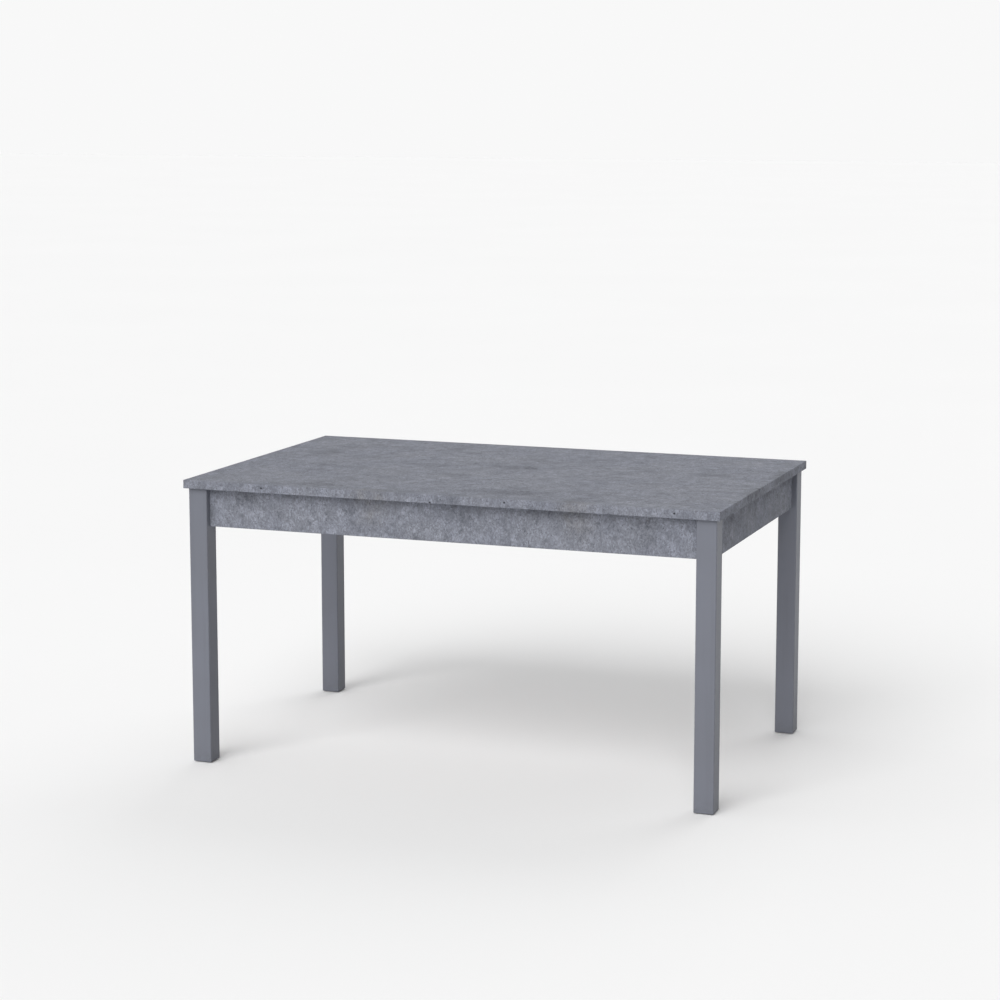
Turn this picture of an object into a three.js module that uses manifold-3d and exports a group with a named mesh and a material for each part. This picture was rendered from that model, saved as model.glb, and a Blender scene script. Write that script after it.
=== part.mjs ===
// Extendable dining table.
//
// A fixed frame of four square legs and four aprons carries two grooved guide rails. Each half of the
// top is screwed to two tongued runners that slide in the grooves of the rails, so the halves part in
// the middle. The loose extension leaf lies on two cross bearers inside the frame.
//
// Units are millimetres and +Z is up. +X runs along the table's length and -Y is the front.
// The origin is on the floor under the middle of the table.

import * as THREE from 'three';
import { mergeVertices } from 'three/addons/utils/BufferGeometryUtils.js';
import Module from 'manifold-3d';

const wasm = await Module();
wasm.setup();

// Whole table, closed
const LENGTH = 1450;
const WIDTH = 900;
const HEIGHT = 760;
const BOARD = 22;

// Gap left between pieces that touch, and the finer one at the joint of the two half-tops
const FIT = 0.3;
const SEAM_GAP = 0.1;

// How far a cutter runs past the face that it opens
const OVERCUT = 1;

// Legs and the glides under them
const LEG_SIZE = 52;
const LEG_INSET_X = 10;
const LEG_INSET_Y = 11;
const LEG_EDGE_RADIUS = 3;
const LEG_FOOT_BEVEL = 2;
const GLIDE_HEIGHT = 2;
const GLIDE_RADIUS = 15;
const GLIDE_PIN_RADIUS = 2.5;
const GLIDE_PIN_LENGTH = 18;

// Aprons, set back from the outer faces of the legs
const APRON_THICKNESS = 18;
const APRON_BOTTOM = 636;
const SIDE_APRON_SETBACK = 17;
const END_APRON_SETBACK = 14;
const SIDE_APRON_TOP_GAP = 1;
const SLIDE_STRIP_THICKNESS = 1.7;
const SLIDE_STRIP_WIDTH = 14;
const SLIDE_STRIP_INSET = 10;

// Cross bearers, guide rails and runners
const BEARER_WIDTH = 45;
const BEARER_HEIGHT = 26;
const BEARER_TOP = 688;
const BEARER_X = 330;
const RAIL_OUTER_Y = 377.5;
const RAIL_THICKNESS = 27.5;
const RAIL_TOP = 735.5;
const GROOVE_DEPTH = 9;
const GROOVE_HEIGHT = 10;
const GROOVE_Z = 718;
const SLIDE_PLAY = 0.5;
const RUNNER_THICKNESS = 22;
const RUNNER_HEIGHT = 36;
const RUNNER_STEP = 2;
const RUNNER_FIXED_LENGTH = 430;
const RUNNER_FREE_LENGTH = 250;

// How far each half-top slides out
const TRAVEL = 225;

// Extension leaf, stored with its length along the table
const LEAF_WIDTH = 400;
const LEAF_LENGTH = WIDTH;

// Dowels that line up the boards, and the screws that hold the runners
const DOWEL_RADIUS = 4;
const DOWEL_OUT = 12;
const DOWEL_IN = 18;
const DOWEL_SPACING = 300;
const DOWEL_CHAMFER = 1;
const SCREW_RADIUS = 2;
const SCREW_HEAD_RADIUS = 4;
const SCREW_RIM = 0.6;
const SCREW_POINT = 3;
const SCREW_IN_BOARD = 13;
const SCREW_INSETS = [45, 215, 385];

// Corner brackets and their bolts
const STEEL = 2;
const CORNER_BRACKET_BOTTOM = 640;
const CORNER_BRACKET_HEIGHT = 30;
const CORNER_BRACKET_REACH = 28.4;
const CORNER_FLANGE = 28;
const BOLT_RADIUS = 4;
const BOLT_IN_LEG = 34;
const BOLT_TAIL = 22;
const BOLT_CHAMFER = 1;
const BOLT_POINT = 5;
const NUT_HEIGHT = 8;
const WING_THICKNESS = 2.4;
const SCREW_HOLE_RADIUS = 2.2;
const FLANGE_HOLE_SHARES = [0.3, 0.75];
const RAIL_BRACKET_WIDTH = 22;
const RAIL_BRACKET_FOOT = 30;
const RAIL_BRACKET_DROP = 16;
const FOOT_HOLE_SHARES = [0.35, 0.75];
const DROP_HOLE_SHARE = 0.62;

// Places that follow from the sizes above
const TOP_UNDERSIDE = HEIGHT - BOARD;
const BOARD_MIDDLE = HEIGHT - BOARD / 2;
const LEG_OUTER_X = LENGTH / 2 - LEG_INSET_X;
const LEG_OUTER_Y = WIDTH / 2 - LEG_INSET_Y;
const LEG_INNER_X = LEG_OUTER_X - LEG_SIZE;
const LEG_INNER_Y = LEG_OUTER_Y - LEG_SIZE;
const LEG_X = LEG_OUTER_X - LEG_SIZE / 2;
const LEG_Y = LEG_OUTER_Y - LEG_SIZE / 2;
const LEG_LENGTH = TOP_UNDERSIDE - 2 * FIT - GLIDE_HEIGHT;
const SIDE_APRON_Y = LEG_OUTER_Y - SIDE_APRON_SETBACK - APRON_THICKNESS / 2;
const SIDE_APRON_INNER_Y = SIDE_APRON_Y - APRON_THICKNESS / 2;
const END_APRON_X = LEG_OUTER_X - END_APRON_SETBACK - APRON_THICKNESS / 2;
const END_APRON_INNER_X = END_APRON_X - APRON_THICKNESS / 2;
const END_APRON_TOP = TOP_UNDERSIDE - SLIDE_STRIP_THICKNESS - 2 * FIT;
const RAIL_BOTTOM = BEARER_TOP + FIT;
const RAIL_Y = RAIL_OUTER_Y - RAIL_THICKNESS / 2;
const RAIL_LENGTH = 2 * (END_APRON_INNER_X - FIT);
const RUNNER_TOP = TOP_UNDERSIDE - FIT;
const RUNNER_BOTTOM = RUNNER_TOP - RUNNER_HEIGHT;
const LEAF_BOTTOM = BEARER_TOP + FIT;

// The front is -1 along Y and the back is +1; the left is -1 along X and the right is +1.
const SIDES = [['front', -1], ['back', 1]];
const ENDS = [['left', -1], ['right', 1]];

// Every mesh gets a material of its own from one of these finishes.
const finish = (color, roughness, metalness = 0) => () => new THREE.MeshStandardMaterial({
  color,
  roughness,
  metalness,
});

const FINISHES = {
  top: finish(0x868992, 0.62),
  apron: finish(0x80838b, 0.62),
  leg: finish(0x7c7e87, 0.42),
  beech: finish(0xc9a273, 0.6),
  zinc: finish(0xb4b8bc, 0.35, 1),
  glide: finish(0x2f3133, 0.55),
  felt: finish(0x4a4c50, 0.95),
};

// ---------------------------------------------------------------------------------------------
// Solids
// ---------------------------------------------------------------------------------------------

// A closed three.js geometry as a manifold solid, with only positions and with shared vertices merged.
function toSolid(geometry) {
  const bare = geometry.clone();
  bare.deleteAttribute('normal');
  bare.deleteAttribute('uv');
  const merged = mergeVertices(bare, 1e-3);
  return new wasm.Manifold(new wasm.Mesh({
    numProp: 3,
    vertProperties: Float32Array.from(merged.attributes.position.array),
    triVerts: Uint32Array.from(merged.index.array),
  }));
}

// A manifold solid as a three.js geometry.
function toGeometry(solid) {
  const mesh = solid.getMesh();
  const geometry = new THREE.BufferGeometry();
  geometry.setAttribute('position', new THREE.BufferAttribute(mesh.vertProperties, 3));
  geometry.setIndex(new THREE.BufferAttribute(mesh.triVerts, 1));
  return geometry;
}

// The geometry with every cutter taken out of it.
function cut(geometry, cutters) {
  let solid = toSolid(geometry);
  for (const cutter of cutters) {
    solid = solid.subtract(toSolid(cutter));
  }
  return toGeometry(solid);
}

// The geometries joined into one body.
function join(geometries) {
  let solid = toSolid(geometries[0]);
  for (const geometry of geometries.slice(1)) {
    solid = solid.add(toSolid(geometry));
  }
  return toGeometry(solid);
}

// A box between two corners.
function block(low, high) {
  const [x, y, z] = [0, 1, 2].map((axis) => high[axis] - low[axis]);
  const geometry = new THREE.BoxGeometry(x, y, z);
  return geometry.translate(low[0] + x / 2, low[1] + y / 2, low[2] + z / 2);
}

// Turns a geometry made along +Y, starting at the origin, so that it starts at a point and runs along
// a direction.
function aim(geometry, start, direction) {
  const turn = new THREE.Quaternion().setFromUnitVectors(
    new THREE.Vector3(0, 1, 0),
    new THREE.Vector3(...direction).normalize(),
  );
  return geometry.applyQuaternion(turn).translate(...start);
}

// A round rod from a start point along a direction.
function rod(radius, length, start, direction, sides = 16) {
  const geometry = new THREE.CylinderGeometry(radius, radius, length, sides).translate(0, length / 2, 0);
  return aim(geometry, start, direction);
}

// A body of revolution about +Y from [radius, height] pairs that start and end on the axis.
function turned(profile, sides = 16) {
  const points = profile.map(([radius, height]) => new THREE.Vector2(radius, height));
  return new THREE.LatheGeometry(points, sides);
}

// A square with rounded corners, centred on the origin.
function roundedSquare(size, radius) {
  const reach = size / 2 - radius;
  const shape = new THREE.Shape();
  shape.absarc(reach, reach, radius, 0, Math.PI / 2);
  shape.absarc(-reach, reach, radius, Math.PI / 2, Math.PI);
  shape.absarc(-reach, -reach, radius, Math.PI, 1.5 * Math.PI);
  shape.absarc(reach, -reach, radius, 1.5 * Math.PI, 2 * Math.PI);
  return shape;
}

// An outline that runs along one row of points and back along another.
function stripShape(there, back) {
  return new THREE.Shape([...there, ...back.toReversed()].map(([x, y]) => new THREE.Vector2(x, y)));
}

// ---------------------------------------------------------------------------------------------
// The table as a scene
// ---------------------------------------------------------------------------------------------

const table = new THREE.Group();

function addPart(name, geometry, material, position = [0, 0, 0], parent = table) {
  const mesh = new THREE.Mesh(geometry, material);
  mesh.name = name;
  mesh.position.set(...position);
  parent.add(mesh);
  return mesh;
}

// The corner hardware shares a frame whose +X points outwards along the corner's diagonal. It starts
// where the steel plate crosses the diagonal, as far from the end apron as from the side apron.
const CORNER_X = END_APRON_INNER_X - CORNER_BRACKET_REACH;
const CORNER_Y = SIDE_APRON_INNER_Y - CORNER_BRACKET_REACH;
const BOLT_Z = CORNER_BRACKET_BOTTOM + CORNER_BRACKET_HEIGHT / 2;

// How far the bolt runs from that plate to the tip inside the leg.
const BOLT_REACH = Math.SQRT2 * Math.max(LEG_INNER_X - CORNER_X, LEG_INNER_Y - CORNER_Y) + BOLT_IN_LEG;

// A leg: a square post with eased edges, bored for the glide's pin and for the corner bolt. Its foot
// is at the origin.
function legGeometry(endSign, sideSign) {
  const post = new THREE.ExtrudeGeometry(roundedSquare(LEG_SIZE, LEG_EDGE_RADIUS), {
    depth: LEG_LENGTH,
    bevelThickness: LEG_FOOT_BEVEL,
    bevelSize: LEG_FOOT_BEVEL,
    bevelOffset: -LEG_FOOT_BEVEL,
    bevelSegments: 2,
    curveSegments: 3,
  }).translate(0, 0, LEG_FOOT_BEVEL);
  const aboveTop = block([-LEG_SIZE, -LEG_SIZE, LEG_LENGTH], [LEG_SIZE, LEG_SIZE, 2 * LEG_LENGTH]);
  const pinBore = rod(GLIDE_PIN_RADIUS + FIT, GLIDE_PIN_LENGTH + 2 * OVERCUT, [0, 0, -OVERCUT], [0, 0, 1]);
  const boltStart = [
    endSign * (CORNER_X - LEG_X),
    sideSign * (CORNER_Y - LEG_Y),
    BOLT_Z - GLIDE_HEIGHT - FIT,
  ];
  const boltBore = rod(BOLT_RADIUS + FIT, BOLT_REACH + OVERCUT, boltStart, [endSign, sideSign, 0]);
  return cut(post, [aboveTop, pinBore, boltBore]);
}

// A glide: a low disc with a pin that is driven into the leg.
function glideGeometry() {
  const disc = turned([
    [0, 0],
    [GLIDE_RADIUS - 2, 0],
    [GLIDE_RADIUS, GLIDE_HEIGHT / 2],
    [GLIDE_RADIUS, GLIDE_HEIGHT],
    [GLIDE_PIN_RADIUS, GLIDE_HEIGHT],
    [GLIDE_PIN_RADIUS, GLIDE_HEIGHT + GLIDE_PIN_LENGTH - 2],
    [0, GLIDE_HEIGHT + GLIDE_PIN_LENGTH],
  ]);
  return disc.rotateX(Math.PI / 2);
}

// A guide rail in place, with a groove in each face. The outer groove is stopped at the left, where it
// ends the left half-top's travel, and the inner one at the right.
function guideRailGeometry(sideSign) {
  const end = RAIL_LENGTH / 2;
  const stop = RUNNER_FIXED_LENGTH + TRAVEL + SLIDE_PLAY;
  const outerFace = sideSign * RAIL_OUTER_Y;
  const innerFace = sideSign * (RAIL_OUTER_Y - RAIL_THICKNESS);
  const groove = (face, floor, low, high) => block(
    [low, Math.min(face, floor), GROOVE_Z - GROOVE_HEIGHT / 2],
    [high, Math.max(face, floor), GROOVE_Z + GROOVE_HEIGHT / 2],
  );
  const rail = block(
    [-end, Math.min(outerFace, innerFace), RAIL_BOTTOM],
    [end, Math.max(outerFace, innerFace), RAIL_TOP],
  );
  return cut(rail, [
    groove(outerFace + sideSign * OVERCUT, outerFace - sideSign * GROOVE_DEPTH, -stop, end + OVERCUT),
    groove(innerFace - sideSign * OVERCUT, innerFace + sideSign * GROOVE_DEPTH, -end - OVERCUT, stop),
  ]);
}

// A countersunk screw pointing up from the underside of its head, or with a clearance the hole for it.
function screwGeometry(clearance = 0) {
  const tip = RUNNER_HEIGHT + SCREW_IN_BOARD + clearance;
  const shank = SCREW_RADIUS + clearance;
  const head = SCREW_HEAD_RADIUS + clearance;
  return turned([
    [0, -clearance],
    [head, -clearance],
    [head, SCREW_RIM],
    [shank, SCREW_RIM + SCREW_HEAD_RADIUS - SCREW_RADIUS],
    [shank, tip - SCREW_POINT],
    [0, tip],
  ], 12).rotateX(Math.PI / 2);
}

// The cross recess in a screw's head, as two crossed bars.
function crossRecess() {
  const reach = 0.6 * SCREW_HEAD_RADIUS;
  const half = 0.45;
  const depth = 1.4;
  return join([
    block([-reach, -half, -OVERCUT], [reach, half, depth]),
    block([-half, -reach, -OVERCUT], [half, reach, depth]),
  ]);
}

// The X places of a runner's screws, counted from the seam towards the end of the table.
const screwPlaces = (endSign) => SCREW_INSETS.map((inset) => endSign * inset);

// The Y places of the dowels along a seam.
const DOWEL_PLACES = [['front', -DOWEL_SPACING], ['middle', 0], ['back', DOWEL_SPACING]];

// The face of a runner that looks at its guide rail. The left half-top's runners lie on the outer side
// of the rails and the right one's on the inner side. `away` points from the rail to the runner.
function runnerPlace(endSign, sideSign) {
  const outer = endSign < 0;
  return {
    face: sideSign * (outer ? RAIL_OUTER_Y + SLIDE_PLAY : RAIL_OUTER_Y - RAIL_THICKNESS - SLIDE_PLAY),
    away: outer ? sideSign : -sideSign,
  };
}

const runnerMiddle = ({ face, away }) => face + away * RUNNER_THICKNESS / 2;

// A runner in place: a bar with a tongue that fills the rail's groove. The part that reaches under the
// other half-top is lower, so that it clears the other board.
function runnerGeometry(endSign, sideSign) {
  const { face, away } = runnerPlace(endSign, sideSign);
  const outerEnd = endSign * RUNNER_FIXED_LENGTH;
  const innerEnd = -endSign * RUNNER_FREE_LENGTH;
  const low = Math.min(outerEnd, innerEnd);
  const high = Math.max(outerEnd, innerEnd);
  const back = face + away * RUNNER_THICKNESS;
  const tip = face - away * GROOVE_DEPTH;
  const bar = block([low, Math.min(face, back), RUNNER_BOTTOM], [high, Math.max(face, back), RUNNER_TOP]);
  const tongue = block(
    [low, Math.min(tip, back), GROOVE_Z - GROOVE_HEIGHT / 2 + FIT],
    [high, Math.max(tip, back), GROOVE_Z + GROOVE_HEIGHT / 2 - FIT],
  );
  const stepStart = endSign * SEAM_GAP;
  const stepEnd = innerEnd - endSign * OVERCUT;
  const step = block(
    [Math.min(stepStart, stepEnd), -WIDTH, RUNNER_TOP - RUNNER_STEP],
    [Math.max(stepStart, stepEnd), WIDTH, HEIGHT],
  );
  const y = runnerMiddle({ face, away });
  const holes = screwPlaces(endSign).map((x) => screwGeometry(FIT).translate(x, y, RUNNER_BOTTOM));
  return cut(join([bar, tongue]), [step, ...holes]);
}

// A half-top in place, with blind holes for the screws of its two runners and a row of dowel holes in
// its seam.
function halfTopGeometry(endSign) {
  const seam = endSign * SEAM_GAP / 2;
  const outer = endSign * LENGTH / 2;
  const board = block(
    [Math.min(seam, outer), -WIDTH / 2, TOP_UNDERSIDE],
    [Math.max(seam, outer), WIDTH / 2, HEIGHT],
  );
  const depth = endSign < 0 ? DOWEL_IN : DOWEL_OUT;
  const dowelHoles = DOWEL_PLACES.map(([, y]) => rod(
    DOWEL_RADIUS + FIT,
    depth + 2 * OVERCUT,
    [seam - endSign * OVERCUT, y, BOARD_MIDDLE],
    [endSign, 0, 0],
    12,
  ));
  const screwHoles = SIDES.flatMap(([, sideSign]) => {
    const y = runnerMiddle(runnerPlace(endSign, sideSign));
    return screwPlaces(endSign).map((x) => screwGeometry(FIT).translate(x, y, RUNNER_BOTTOM));
  });
  return cut(board, [...dowelHoles, ...screwHoles]);
}

// A dowel with chamfered ends, lying along +Y from its inner end at the origin.
function dowelGeometry() {
  const length = DOWEL_IN + DOWEL_OUT;
  return turned([
    [0, 0],
    [DOWEL_RADIUS - DOWEL_CHAMFER, 0],
    [DOWEL_RADIUS, DOWEL_CHAMFER],
    [DOWEL_RADIUS, length - DOWEL_CHAMFER],
    [DOWEL_RADIUS - DOWEL_CHAMFER, length],
    [0, length],
  ], 12);
}

// The extension leaf as it is stored, with dowel holes in both long edges. Its middle is the origin.
function leafGeometry() {
  const edge = LEAF_WIDTH / 2;
  const board = new THREE.BoxGeometry(LEAF_LENGTH, LEAF_WIDTH, BOARD);
  const holes = DOWEL_PLACES.flatMap(([, x]) => [
    rod(DOWEL_RADIUS + FIT, DOWEL_IN + 2 * OVERCUT, [x, edge + OVERCUT, 0], [0, -1, 0], 12),
    rod(DOWEL_RADIUS + FIT, DOWEL_OUT + 2 * OVERCUT, [x, -edge - OVERCUT, 0], [0, 1, 0], 12),
  ]);
  return cut(board, holes);
}

// A corner bracket: a plate across the corner with a flange bent back along each apron, bored for the
// bolt and for two screws in each flange.
function cornerBracketGeometry() {
  const half = (CORNER_BRACKET_REACH - FIT) * Math.SQRT2;
  const bend = STEEL * Math.tan(Math.PI / 8);
  const flangeStep = CORNER_FLANGE / Math.SQRT2;
  const thick = STEEL / Math.SQRT2;
  const outer = [
    [-flangeStep, -half - flangeStep],
    [0, -half],
    [0, half],
    [-flangeStep, half + flangeStep],
  ];
  const inner = [
    [-flangeStep - thick, -half - flangeStep + thick],
    [-STEEL, -half + bend],
    [-STEEL, half - bend],
    [-flangeStep - thick, half + flangeStep - thick],
  ];
  const plate = new THREE.ExtrudeGeometry(stripShape(outer, inner), {
    depth: CORNER_BRACKET_HEIGHT,
    bevelEnabled: false,
  });
  const middle = CORNER_BRACKET_HEIGHT / 2;
  const boltHole = rod(BOLT_RADIUS + FIT, 4 * STEEL, [-2 * STEEL, 0, middle], [1, 0, 0]);
  const flangeHole = (turn, share) => {
    const along = share * flangeStep;
    const start = [-along - 2 * thick, turn * (half + along - 2 * thick), middle];
    return rod(SCREW_HOLE_RADIUS, 3 * STEEL, start, [1, turn, 0], 10);
  };
  const flangeHoles = [-1, 1].flatMap(
    (turn) => FLANGE_HOLE_SHARES.map((share) => flangeHole(turn, share)),
  );
  return cut(plate, [boltHole, ...flangeHoles]);
}

// A hanger bolt along +X from its tail to its tip inside the leg, chamfered at both ends.
function hangerBoltGeometry() {
  const length = BOLT_TAIL + BOLT_REACH;
  const bolt = turned([
    [0, 0],
    [BOLT_RADIUS - BOLT_CHAMFER, 0],
    [BOLT_RADIUS, BOLT_CHAMFER],
    [BOLT_RADIUS, length - BOLT_POINT],
    [BOLT_CHAMFER, length],
    [0, length],
  ]);
  return aim(bolt, [-BOLT_TAIL, 0, 0], [1, 0, 0]);
}

// A wing nut against the plate: a tapered hub with two upright wings, bored for the bolt.
function wingNutGeometry() {
  const base = -STEEL - FIT;
  const hub = aim(turned([
    [0, 0],
    [8, 0],
    [8, 1.5],
    [6.6, 2],
    [5.6, NUT_HEIGHT],
    [0, NUT_HEIGHT],
  ]), [base, 0, 0], [-1, 0, 0]);
  const oneWing = [[0, 4], [-2, 6], [-13, 14.5], [-15, 13], [-13, 9.5], [-7, 5]];
  const wings = new THREE.ExtrudeGeometry(
    stripShape(oneWing, oneWing.map(([x, y]) => [x, -y])),
    { depth: WING_THICKNESS, bevelEnabled: false },
  ).translate(base, 0, -WING_THICKNESS / 2);
  const bore = rod(BOLT_RADIUS + FIT, 4 * NUT_HEIGHT, [base + NUT_HEIGHT, 0, 0], [-1, 0, 0]);
  return cut(join([hub, wings]), [bore]);
}

// A steel angle under the end of a guide rail, with its corner at the origin: one leaf lies under the
// rail and points along -X, the other hangs down the end apron.
function railBracketGeometry() {
  const angle = stripShape(
    [[-RAIL_BRACKET_FOOT, 0], [0, 0], [0, -RAIL_BRACKET_DROP]],
    [[-RAIL_BRACKET_FOOT, -STEEL], [-STEEL, -STEEL], [-STEEL, -RAIL_BRACKET_DROP]],
  );
  const plate = new THREE.ExtrudeGeometry(angle, { depth: RAIL_BRACKET_WIDTH, bevelEnabled: false })
    .rotateX(Math.PI / 2)
    .translate(0, RAIL_BRACKET_WIDTH / 2, 0);
  const footHoles = FOOT_HOLE_SHARES.map((share) => rod(
    SCREW_HOLE_RADIUS,
    4 * STEEL,
    [-share * RAIL_BRACKET_FOOT, 0, -2 * STEEL],
    [0, 0, 1],
    10,
  ));
  const dropStart = [-2 * STEEL, 0, -DROP_HOLE_SHARE * RAIL_BRACKET_DROP];
  const dropHole = rod(SCREW_HOLE_RADIUS, 4 * STEEL, dropStart, [1, 0, 0], 10);
  return cut(plate, [...footHoles, dropHole]);
}

// ---------------------------------------------------------------------------------------------
// Frame
// ---------------------------------------------------------------------------------------------

for (const [side, sideSign] of SIDES) {
  for (const [end, endSign] of ENDS) {
    const corner = `${side}_${end}`;
    const foot = [endSign * LEG_X, sideSign * LEG_Y, GLIDE_HEIGHT + FIT];
    addPart(`leg_${corner}`, legGeometry(endSign, sideSign), FINISHES.leg(), foot);
    addPart(`glide_${corner}`, glideGeometry(), FINISHES.glide(), [foot[0], foot[1], 0]);

    const hardware = new THREE.Group();
    hardware.position.set(endSign * CORNER_X, sideSign * CORNER_Y, 0);
    hardware.rotation.z = Math.atan2(sideSign, endSign);
    table.add(hardware);
    const plateBottom = [0, 0, CORNER_BRACKET_BOTTOM];
    addPart(`corner_bracket_${corner}`, cornerBracketGeometry(), FINISHES.zinc(), plateBottom, hardware);
    addPart(`hanger_bolt_${corner}`, hangerBoltGeometry(), FINISHES.zinc(), [0, 0, BOLT_Z], hardware);
    addPart(`wing_nut_${corner}`, wingNutGeometry(), FINISHES.zinc(), [0, 0, BOLT_Z], hardware);

    const railBracket = addPart(`rail_bracket_${corner}`, railBracketGeometry(), FINISHES.zinc(), [
      endSign * (END_APRON_INNER_X - FIT),
      sideSign * RAIL_Y,
      RAIL_BOTTOM - FIT,
    ]);
    railBracket.rotation.z = endSign < 0 ? Math.PI : 0;
  }

  const apronTop = TOP_UNDERSIDE - SIDE_APRON_TOP_GAP;
  const apronLength = 2 * (LEG_INNER_X - FIT);
  addPart(
    `apron_${side}`,
    new THREE.BoxGeometry(apronLength, APRON_THICKNESS, apronTop - APRON_BOTTOM),
    FINISHES.apron(),
    [0, sideSign * SIDE_APRON_Y, (apronTop + APRON_BOTTOM) / 2],
  );
  addPart(`guide_rail_${side}`, guideRailGeometry(sideSign), FINISHES.beech());
}

for (const [end, endSign] of ENDS) {
  const apronLength = 2 * (LEG_INNER_Y - FIT);
  addPart(
    `apron_${end}`,
    new THREE.BoxGeometry(APRON_THICKNESS, apronLength, END_APRON_TOP - APRON_BOTTOM),
    FINISHES.apron(),
    [endSign * END_APRON_X, 0, (END_APRON_TOP + APRON_BOTTOM) / 2],
  );
  addPart(
    `slide_strip_${end}`,
    new THREE.BoxGeometry(SLIDE_STRIP_WIDTH, apronLength - 2 * SLIDE_STRIP_INSET, SLIDE_STRIP_THICKNESS),
    FINISHES.felt(),
    [endSign * END_APRON_X, 0, END_APRON_TOP + FIT + SLIDE_STRIP_THICKNESS / 2],
  );
  addPart(
    `cross_bearer_${end}`,
    new THREE.BoxGeometry(BEARER_WIDTH, 2 * (SIDE_APRON_INNER_Y - FIT), BEARER_HEIGHT),
    FINISHES.beech(),
    [endSign * BEARER_X, 0, BEARER_TOP - BEARER_HEIGHT / 2],
  );
}

// ---------------------------------------------------------------------------------------------
// Half-tops, each with its runners and their screws
// ---------------------------------------------------------------------------------------------

for (const [end, endSign] of ENDS) {
  addPart(`top_${end}`, halfTopGeometry(endSign), FINISHES.top());
  for (const [side, sideSign] of SIDES) {
    const y = runnerMiddle(runnerPlace(endSign, sideSign));
    addPart(`runner_${end}_${side}`, runnerGeometry(endSign, sideSign), FINISHES.beech());
    screwPlaces(endSign).forEach((x, index) => {
      const screw = cut(screwGeometry(), [crossRecess()]);
      addPart(`runner_screw_${end}_${side}_${index + 1}`, screw, FINISHES.zinc(), [x, y, RUNNER_BOTTOM]);
    });
  }
}

for (const [place, y] of DOWEL_PLACES) {
  const start = [-SEAM_GAP / 2 - DOWEL_IN, 0, 0];
  addPart(`seam_dowel_${place}`, aim(dowelGeometry(), start, [1, 0, 0]), FINISHES.beech(), [
    0,
    y,
    BOARD_MIDDLE,
  ]);
}

// ---------------------------------------------------------------------------------------------
// Extension leaf, lying on the cross bearers
// ---------------------------------------------------------------------------------------------

addPart('extension_leaf', leafGeometry(), FINISHES.top(), [0, 0, LEAF_BOTTOM + BOARD / 2]);
for (const [place, x] of DOWEL_PLACES) {
  const start = [0, LEAF_WIDTH / 2 - DOWEL_IN, 0];
  addPart(`leaf_dowel_${place}`, aim(dowelGeometry(), start, [0, 1, 0]), FINISHES.beech(), [
    x,
    0,
    LEAF_BOTTOM + BOARD / 2,
  ]);
}

export default table;
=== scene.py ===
import math

import bmesh
import bpy
from mathutils import Euler, Matrix, Vector


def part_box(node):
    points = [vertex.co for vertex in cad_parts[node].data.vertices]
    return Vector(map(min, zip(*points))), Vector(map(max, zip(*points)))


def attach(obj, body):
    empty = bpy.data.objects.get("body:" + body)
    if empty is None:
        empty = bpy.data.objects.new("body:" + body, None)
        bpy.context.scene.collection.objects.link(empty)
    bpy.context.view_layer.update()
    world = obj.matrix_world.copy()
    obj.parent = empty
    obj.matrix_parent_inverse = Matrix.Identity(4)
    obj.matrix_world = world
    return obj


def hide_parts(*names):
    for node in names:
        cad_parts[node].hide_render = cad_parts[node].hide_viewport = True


# The looks of an extendable dining table, built around its CAD model: finishes for the CAD nodes,
# laminated boards with edge bands, threaded bolts, fluted dowels and small screws. The camera, the
# light and the floor come last. Lengths are in metres, and the front of the table faces -Y.

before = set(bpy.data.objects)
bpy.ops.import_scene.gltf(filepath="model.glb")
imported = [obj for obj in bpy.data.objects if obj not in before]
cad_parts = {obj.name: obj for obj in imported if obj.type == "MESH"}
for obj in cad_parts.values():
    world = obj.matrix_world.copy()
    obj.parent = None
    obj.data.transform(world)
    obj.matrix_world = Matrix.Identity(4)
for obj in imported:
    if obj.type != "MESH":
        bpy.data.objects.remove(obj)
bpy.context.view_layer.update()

MM = 0.001

# The ends and sides of the table, as signs along X and Y, and the places of the dowels in a joint.
ENDS = {"left": -1, "right": 1}
SIDES = {"front": -1, "back": 1}
CORNERS = [(side, end) for side in SIDES for end in ENDS]
DOWEL_PLACES = ("front", "middle", "back")

# Boards: the thin bands glued round their edges, and how far the edges are rounded off.
BAND = 1.0 * MM
BAND_ARRIS = 0.7 * MM
BOARD_ARRIS = 0.15 * MM
WOOD_ARRIS = 0.8 * MM
STEEL_ARRIS = 0.25 * MM

# Sheet-steel brackets. The shares say how far along a flange, foot or drop its screw holes are.
STEEL = 2.0 * MM
FLANGE = 28.0 * MM
FLANGE_HOLE_SHARES = (0.3, 0.75)
RAIL_FOOT = 30.0 * MM
RAIL_FOOT_HOLE_SHARES = (0.35, 0.75)
RAIL_DROP = 16.0 * MM
RAIL_DROP_HOLE_SHARE = 0.62
BEARER_ANGLE = 16.0 * MM
BEARER_ANGLE_WIDTH = 30.0 * MM
BEARER_HOLE_SHARE = 0.6

# Pan-head screws, bolts and dowels.
SCREW_RADIUS = 2.0 * MM
SCREW_HEAD_RADIUS = 3.8 * MM
SCREW_HEAD_HEIGHT = 2.2 * MM
SCREW_LENGTH = 6.0 * MM
RECESS_REACH = 2.0 * MM
RECESS_HALF = 0.45 * MM
RECESS_DEPTH = 1.3 * MM
SCREW_FACETS = 24
THREAD_PITCH = 1.25 * MM
THREAD_DEPTH = 0.55 * MM
THREAD_RINGS = 8
BOLT_FACETS = 20
DOWEL_FLUTES = 14
FLUTE_DEPTH = 0.25 * MM
FLUTE_FACETS = 6
CHAMFER = 1.0 * MM

# Shading stays smooth up to the first angle between faces. Edges sharper than the second are eased,
# and faces that meet within the third are joined. Points closer than TOUCH count as one.
SMOOTH_ANGLE = math.radians(38)
SHARP_ANGLE = math.radians(50)
FLAT_ANGLE = math.radians(0.5)
TOUCH = 0.002 * MM


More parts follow.
